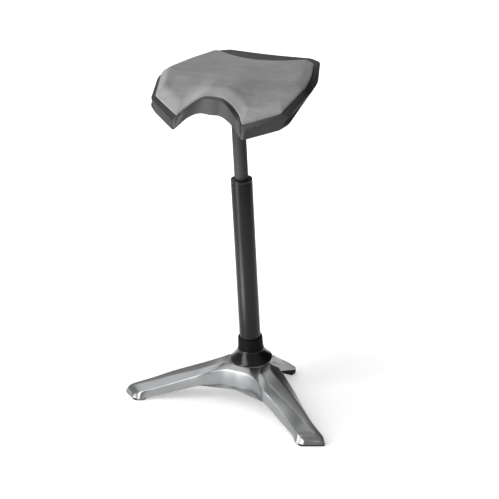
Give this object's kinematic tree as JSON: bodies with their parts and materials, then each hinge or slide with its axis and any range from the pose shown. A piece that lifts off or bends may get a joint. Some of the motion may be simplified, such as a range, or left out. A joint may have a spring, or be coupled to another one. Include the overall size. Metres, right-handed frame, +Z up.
{
  "type": "perch stool",
  "caption": "Sit-stand perch stool: cushioned saddle seat with a front notch on a forward-leaning gas-lift column over a low three-legged cast foot.",
  "frame": {"origin": "on the floor, under the middle of the stool's bounding box", "axes": "+Z up, -Y forward, the way the column leans and the seat's notch faces, +X to the sitter's left"},
  "size_m": [0.5522, 0.358, 0.8341],
  "materials": {
    "polished_aluminium": "polished",
    "satin_black": "satin powder coat",
    "gloss_black": "high gloss",
    "matte_black": "matte",
    "black_steel": "matte",
    "rubber": "matte",
    "dark_steel": "dull grey coat",
    "black_fasteners": "blackened",
    "bright_steel": "bright",
    "brass": "plain",
    "white_plastic": "plain",
    "charcoal_plastic": "fine grain",
    "grey_fabric": "suede-like",
    "foam": "open cell",
    "plywood": "raw"
  },
  "bodies": {
    "base": {"foot_casting": "polished_aluminium", "foot_pad_left": "rubber", "foot_pad_right": "rubber", "foot_pad_rear": "rubber", "outer_tube": "satin_black", "tube_plug": "bright_steel", "lock_washer": "bright_steel", "column_bolt": "black_fasteners", "bell_cover": "gloss_black", "tube_collar": "matte_black", "guide_bush": "white_plastic", "cap_ring": "matte_black", "lower_race": "bright_steel"},
    "rod": {"piston_rod": "bright_steel", "rod_clip": "bright_steel", "rubber_buffer": "rubber", "piston": "brass", "piston_seal": "rubber", "upper_race": "bright_steel", "ball_cage": "brass", "bearing_ball_1": "bright_steel", "bearing_ball_2": "bright_steel", "bearing_ball_3": "bright_steel", "bearing_ball_4": "bright_steel", "bearing_ball_5": "bright_steel", "bearing_ball_6": "bright_steel", "bearing_ball_7": "bright_steel", "bearing_ball_8": "bright_steel"},
    "seat": {"gas_cylinder": "dark_steel", "rod_guide": "brass", "rod_seal": "rubber", "valve_block": "brass", "seat_mount": "black_steel", "seat_shell": "charcoal_plastic", "seat_board": "plywood", "fabric_cover": "grey_fabric", "foam_core": "foam", "lever_pin": "bright_steel", "mount_screw_1": "black_fasteners", "mount_screw_2": "black_fasteners", "mount_screw_3": "black_fasteners", "mount_screw_4": "black_fasteners", "board_screw_1": "bright_steel", "board_screw_2": "bright_steel", "board_screw_3": "bright_steel", "board_screw_4": "bright_steel"},
    "lever": {"release_lever": "black_steel", "lever_grip": "matte_black"},
    "button": {"valve_button": "bright_steel"}
  },
  "joints": [
    {"name": "swivel", "type": "hinge", "parent": "base", "child": "rod", "pos_m": [0, 0.00903, 0.1015], "axis": [0, -0.0958, 0.9954], "continuous": true},
    {"name": "height", "type": "slide", "parent": "rod", "child": "seat", "axis": [0, -0.0958, 0.9954], "range_m": [-0.115, 0.085]},
    {"name": "lever_lift", "type": "hinge", "parent": "seat", "child": "lever", "pos_m": [-0.032, -0.05234, 0.73885], "axis": [0, 0.9954, 0.0958], "range_deg": [0, 4], "stiffness_Nm_per_rad": 1, "springref_deg": -5.73},
    {"name": "valve_press", "type": "slide", "parent": "seat", "child": "button", "axis": [0, 0.0958, -0.9954], "range_m": [0, 0.0024]}
  ],
  "couplings": [
    {"joint": "valve_press", "follows": "lever_lift", "m_per_rad": 0.032}
  ]
}
